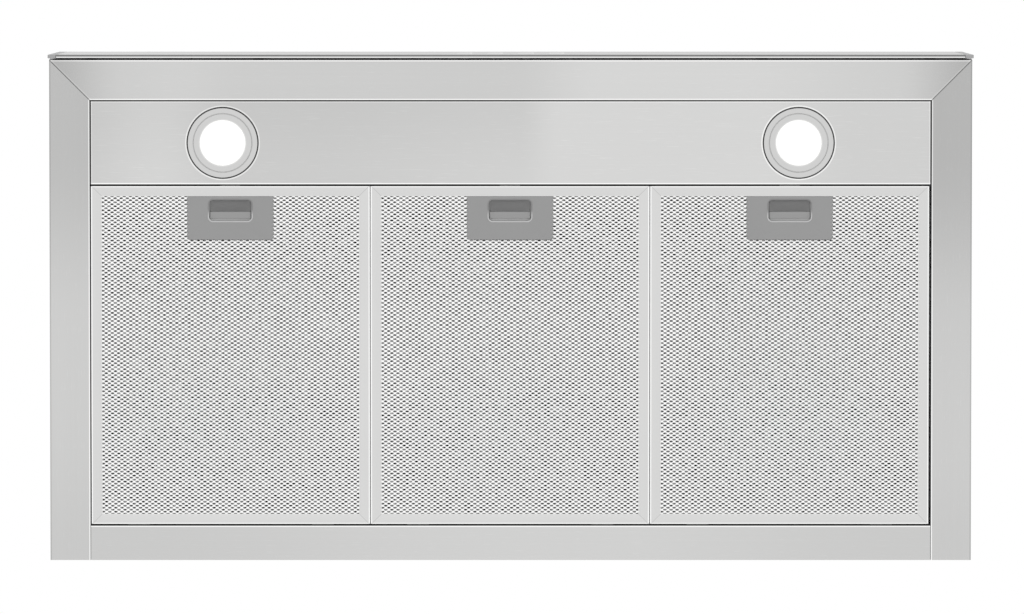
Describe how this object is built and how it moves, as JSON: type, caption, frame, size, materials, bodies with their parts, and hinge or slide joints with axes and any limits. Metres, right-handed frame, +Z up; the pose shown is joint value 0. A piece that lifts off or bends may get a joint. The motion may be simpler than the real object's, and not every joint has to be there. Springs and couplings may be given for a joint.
{
  "type": "range hood insert",
  "caption": "Range hood insert: stainless rim, lit front panel and mesh grease filters with sliding latches under a blower box with a round duct collar.",
  "frame": {"origin": "middle of the underside, on the plane of the rim's lower faces", "axes": "+X to the right and +Y to the rear seen from the front, +Z up towards the duct"},
  "size_m": [0.903, 0.495, 0.3286],
  "materials": {
    "stainless": "fine brushed along each rail",
    "galvanised": "zinc coated sheet, matt with faint spangle",
    "filter_aluminium": "satin",
    "mesh_aluminium": "bright expanded mesh",
    "latch_grey": "fine matt grey",
    "latch_slider_grey": "fine matt grey",
    "spring_steel": "bright wire",
    "lamp_bezel": "satin light grey",
    "lamp_lens": "frosted, lit",
    "heat_sink": "die cast",
    "cap_grey": "fine matt",
    "button_chrome": "satin metallised",
    "black_plastic": "moulded, fine grain",
    "circuit_board": "lacquered board",
    "motor_black": "baked enamel",
    "shaft_steel": "ground",
    "screw_zinc": "bright zinc"
  },
  "bodies": {
    "hood": {"front_rail": "stainless", "left_rail": "stainless", "right_rail": "stainless", "rear_rail": "stainless", "front_fascia": "stainless", "fascia_end_caps": "cap_grey", "fascia_spacers": "galvanised", "button_guide": "black_plastic", "switch_board": "circuit_board", "light_panel": "stainless", "lamp_clips": "spring_steel", "canopy_pan": "galvanised", "blower_box_front": "galvanised", "blower_box_rear": "galvanised", "blower_box_left": "galvanised", "blower_box_right": "galvanised", "blower_box_top": "galvanised", "scroll_wrap": "galvanised", "scroll_motor_side": "galvanised", "scroll_inlet_side": "galvanised", "inlet_ring": "black_plastic", "motor_housing": "motor_black", "duct_collar": "galvanised", "control_box": "black_plastic", "junction_box": "galvanised", "cable_gland": "black_plastic", "mounting_brackets": "galvanised", "sheet_screws": "screw_zinc", "left_lamp_bezel": "lamp_bezel", "left_lamp_lens": "lamp_lens", "left_lamp_body": "heat_sink", "right_lamp_bezel": "lamp_bezel", "right_lamp_lens": "lamp_lens", "right_lamp_body": "heat_sink"},
    "power_button": {"power_button": "button_chrome"},
    "low_button": {"low_button": "button_chrome"},
    "high_button": {"high_button": "button_chrome"},
    "light_button": {"light_button": "button_chrome"},
    "fan": {"impeller": "galvanised", "motor_shaft": "shaft_steel"},
    "front_flap": {"front_damper_flap": "black_plastic"},
    "rear_flap": {"rear_damper_flap": "black_plastic"},
    "left_filter": {"left_filter_frame": "filter_aluminium", "left_filter_mesh": "mesh_aluminium", "left_filter_media": "mesh_aluminium", "left_latch_plate": "latch_grey", "left_latch_spring": "spring_steel"},
    "left_latch": {"left_latch_slider": "latch_slider_grey"},
    "centre_filter": {"centre_filter_frame": "filter_aluminium", "centre_filter_mesh": "mesh_aluminium", "centre_filter_media": "mesh_aluminium", "centre_latch_plate": "latch_grey", "centre_latch_spring": "spring_steel"},
    "centre_latch": {"centre_latch_slider": "latch_slider_grey"},
    "right_filter": {"right_filter_frame": "filter_aluminium", "right_filter_mesh": "mesh_aluminium", "right_filter_media": "mesh_aluminium", "right_latch_plate": "latch_grey", "right_latch_spring": "spring_steel"},
    "right_latch": {"right_latch_slider": "latch_slider_grey"}
  },
  "joints": [
    {"name": "left_filter_swing", "type": "hinge", "parent": "hood", "child": "left_filter", "pos_m": [-0.27355, 0.2135, 0.001], "axis": [1, 0, 0], "range_deg": [0, 60]},
    {"name": "left_latch_pull", "type": "slide", "parent": "left_filter", "child": "left_latch", "axis": [0, 1, 0], "range_m": [0, 0.005], "stiffness_N_per_m": 300, "springref_m": -0.002, "deforming": ["left_latch_spring"]},
    {"name": "centre_filter_swing", "type": "hinge", "parent": "hood", "child": "centre_filter", "pos_m": [-0.00065, 0.2135, 0.001], "axis": [1, 0, 0], "range_deg": [0, 60]},
    {"name": "centre_latch_pull", "type": "slide", "parent": "centre_filter", "child": "centre_latch", "axis": [0, 1, 0], "range_m": [0, 0.005], "stiffness_N_per_m": 300, "springref_m": -0.002, "deforming": ["centre_latch_spring"]},
    {"name": "right_filter_swing", "type": "hinge", "parent": "hood", "child": "right_filter", "pos_m": [0.27225, 0.2135, 0.001], "axis": [1, 0, 0], "range_deg": [0, 60]},
    {"name": "right_latch_pull", "type": "slide", "parent": "right_filter", "child": "right_latch", "axis": [0, 1, 0], "range_m": [0, 0.005], "stiffness_N_per_m": 300, "springref_m": -0.002, "deforming": ["right_latch_spring"]},
    {"name": "power_press", "type": "slide", "parent": "hood", "child": "power_button", "axis": [0, 1, 0], "range_m": [0, 0.002], "stiffness_N_per_m": 500, "springref_m": -0.001},
    {"name": "low_press", "type": "slide", "parent": "hood", "child": "low_button", "axis": [0, 1, 0], "range_m": [0, 0.002], "stiffness_N_per_m": 500, "springref_m": -0.001},
    {"name": "high_press", "type": "slide", "parent": "hood", "child": "high_button", "axis": [0, 1, 0], "range_m": [0, 0.002], "stiffness_N_per_m": 500, "springref_m": -0.001},
    {"name": "light_press", "type": "slide", "parent": "hood", "child": "light_button", "axis": [0, 1, 0], "range_m": [0, 0.002], "stiffness_N_per_m": 500, "springref_m": -0.001},
    {"name": "fan_spin", "type": "hinge", "parent": "hood", "child": "fan", "pos_m": [0, -0.035, 0.1778], "axis": [1, 0, 0], "continuous": true},
    {"name": "front_flap_lift", "type": "hinge", "parent": "hood", "child": "front_flap", "pos_m": [0, 0.0475, 0.2853], "axis": [-1, 0, 0], "range_deg": [0, 75]},
    {"name": "rear_flap_lift", "type": "hinge", "parent": "hood", "child": "rear_flap", "pos_m": [0, 0.0575, 0.2853], "axis": [1, 0, 0], "range_deg": [0, 75]}
  ]
}
